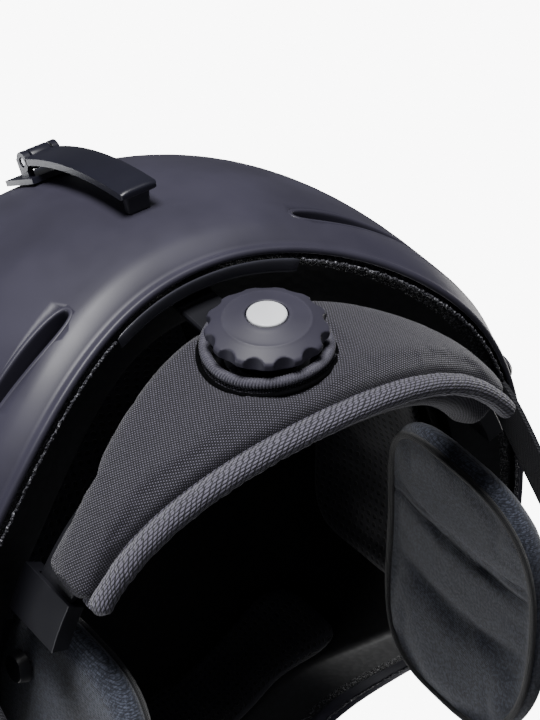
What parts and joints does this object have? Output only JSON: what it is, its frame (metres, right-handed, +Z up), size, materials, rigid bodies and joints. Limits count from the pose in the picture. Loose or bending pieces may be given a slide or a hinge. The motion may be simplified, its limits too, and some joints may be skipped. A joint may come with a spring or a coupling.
{
  "type": "ski helmet",
  "caption": "Hard-shell ski helmet with foam liner, dial-adjusted nape cradle, goggle-strap clip, ear pads and a buckled chin strap.",
  "frame": {"origin": "centre of the fit band's arc, level with the dial's axis: the middle of the wearer's head at the height of the nape", "axes": "+Z up through the crown, +Y to the back of the helmet, +X to the wearer's left"},
  "size_m": [0.22, 0.2752, 0.2786],
  "materials": {
    "shell_plastic": "satin charcoal with a faint violet cast, low sheen",
    "liner_foam": "bead foam, black, fine beads with sparkling facets at raw edges",
    "trim_plastic": "smooth black trim",
    "lining_mesh": "black brushed lining with a fine perforated mesh",
    "pad_fabric": "coarse plain weave, dark violet grey",
    "binding_knit": "ribbed knit edge binding, dark violet grey",
    "ring_thread": "close overlock stitching, dark violet grey",
    "dial_plastic": "soft-touch dark grey plastic",
    "cap_white": "white satin plastic",
    "gear_nylon": "natural nylon",
    "screw_steel": "zinc-plated steel",
    "housing_plastic": "black nylon",
    "spring_steel": "spring steel",
    "band_nylon": "black nylon strip",
    "clip_plastic": "smooth charcoal plastic",
    "pin_steel": "steel",
    "ear_fabric": "soft knit over foam, dark grey",
    "snap_plastic": "black",
    "webbing": "flat woven polyester webbing, black",
    "rivet_metal": "dark coated",
    "divider_plastic": "black acetal",
    "chin_fabric": "soft fleece sleeve, black",
    "buckle_plastic": "black acetal",
    "keeper_rubber": "black moulded rubber"
  },
  "bodies": {
    "helmet": {"band_guide_left": "housing_plastic", "band_guide_right": "housing_plastic", "brow_pad": "lining_mesh", "click_ring": "spring_steel", "cradle_stem": "housing_plastic", "crown_pad": "lining_mesh", "dial_housing": "housing_plastic", "dial_ring": "ring_thread", "ear_pad_left": "ear_fabric", "ear_pad_right": "ear_fabric", "ear_snap_front_left": "snap_plastic", "ear_snap_front_right": "snap_plastic", "ear_snap_rear_left": "snap_plastic", "ear_snap_rear_right": "snap_plastic", "foam_liner": "liner_foam", "front_strap_left": "webbing", "front_strap_right": "webbing", "goggle_clip_base": "clip_plastic", "goggle_clip_pin": "pin_steel", "nape_binding": "binding_knit", "nape_pad": "pad_fabric", "outer_shell": "shell_plastic", "rear_edge_insert": "trim_plastic", "rear_pad": "lining_mesh", "rear_strap_left": "webbing", "rear_strap_right": "webbing", "side_pad_left": "lining_mesh", "side_pad_right": "lining_mesh", "strap_divider_left": "divider_plastic", "strap_divider_right": "divider_plastic", "strap_rivet_front_left": "rivet_metal", "strap_rivet_front_right": "rivet_metal", "strap_rivet_rear_left": "rivet_metal", "strap_rivet_rear_right": "rivet_metal"},
    "dial": {"dial_knob": "dial_plastic", "dial_cap": "cap_white", "dial_pinion": "gear_nylon", "dial_screw": "screw_steel"},
    "left_band": {"left_band": "band_nylon"},
    "right_band": {"right_band": "band_nylon"},
    "goggle_clip": {"goggle_clip": "clip_plastic"},
    "chin_strap": {"lower_strap_left": "webbing", "lower_strap_right": "webbing", "chin_pad": "chin_fabric", "buckle_socket": "buckle_plastic", "strap_keeper": "keeper_rubber"},
    "buckle_plug": {"buckle_plug": "buckle_plastic"}
  },
  "joints": [
    {"name": "dial_turn", "type": "hinge", "parent": "helmet", "child": "dial", "pos_m": [0, 0.08, 0], "axis": [0, 1, 0], "range_deg": [-150, 150]},
    {"name": "left_band_slide", "type": "hinge", "parent": "helmet", "child": "left_band", "pos_m": [0, 0, 0], "axis": [0, 0, 1], "range_deg": [-8, 8]},
    {"name": "right_band_slide", "type": "hinge", "parent": "helmet", "child": "right_band", "pos_m": [0, 0, 0], "axis": [0, 0, 1], "range_deg": [-8, 8]},
    {"name": "goggle_clip_lift", "type": "hinge", "parent": "helmet", "child": "goggle_clip", "pos_m": [0, 0.08672, 0.11567], "axis": [1, 0, 0], "range_deg": [0, 40]},
    {"name": "chin_strap_swing", "type": "hinge", "parent": "helmet", "child": "chin_strap", "pos_m": [0, -0.04, -0.057], "axis": [1, 0, 0], "range_deg": [-35, 35], "deforming": ["lower_strap_left", "lower_strap_right"]},
    {"name": "buckle_release", "type": "slide", "parent": "chin_strap", "child": "buckle_plug", "axis": [-1, 0, 0], "range_m": [0, 0.02], "deforming": ["lower_strap_right"]}
  ],
  "couplings": [
    {"joint": "left_band_slide", "follows": "dial_turn", "ratio": -0.05},
    {"joint": "right_band_slide", "follows": "dial_turn", "ratio": 0.05}
  ]
}
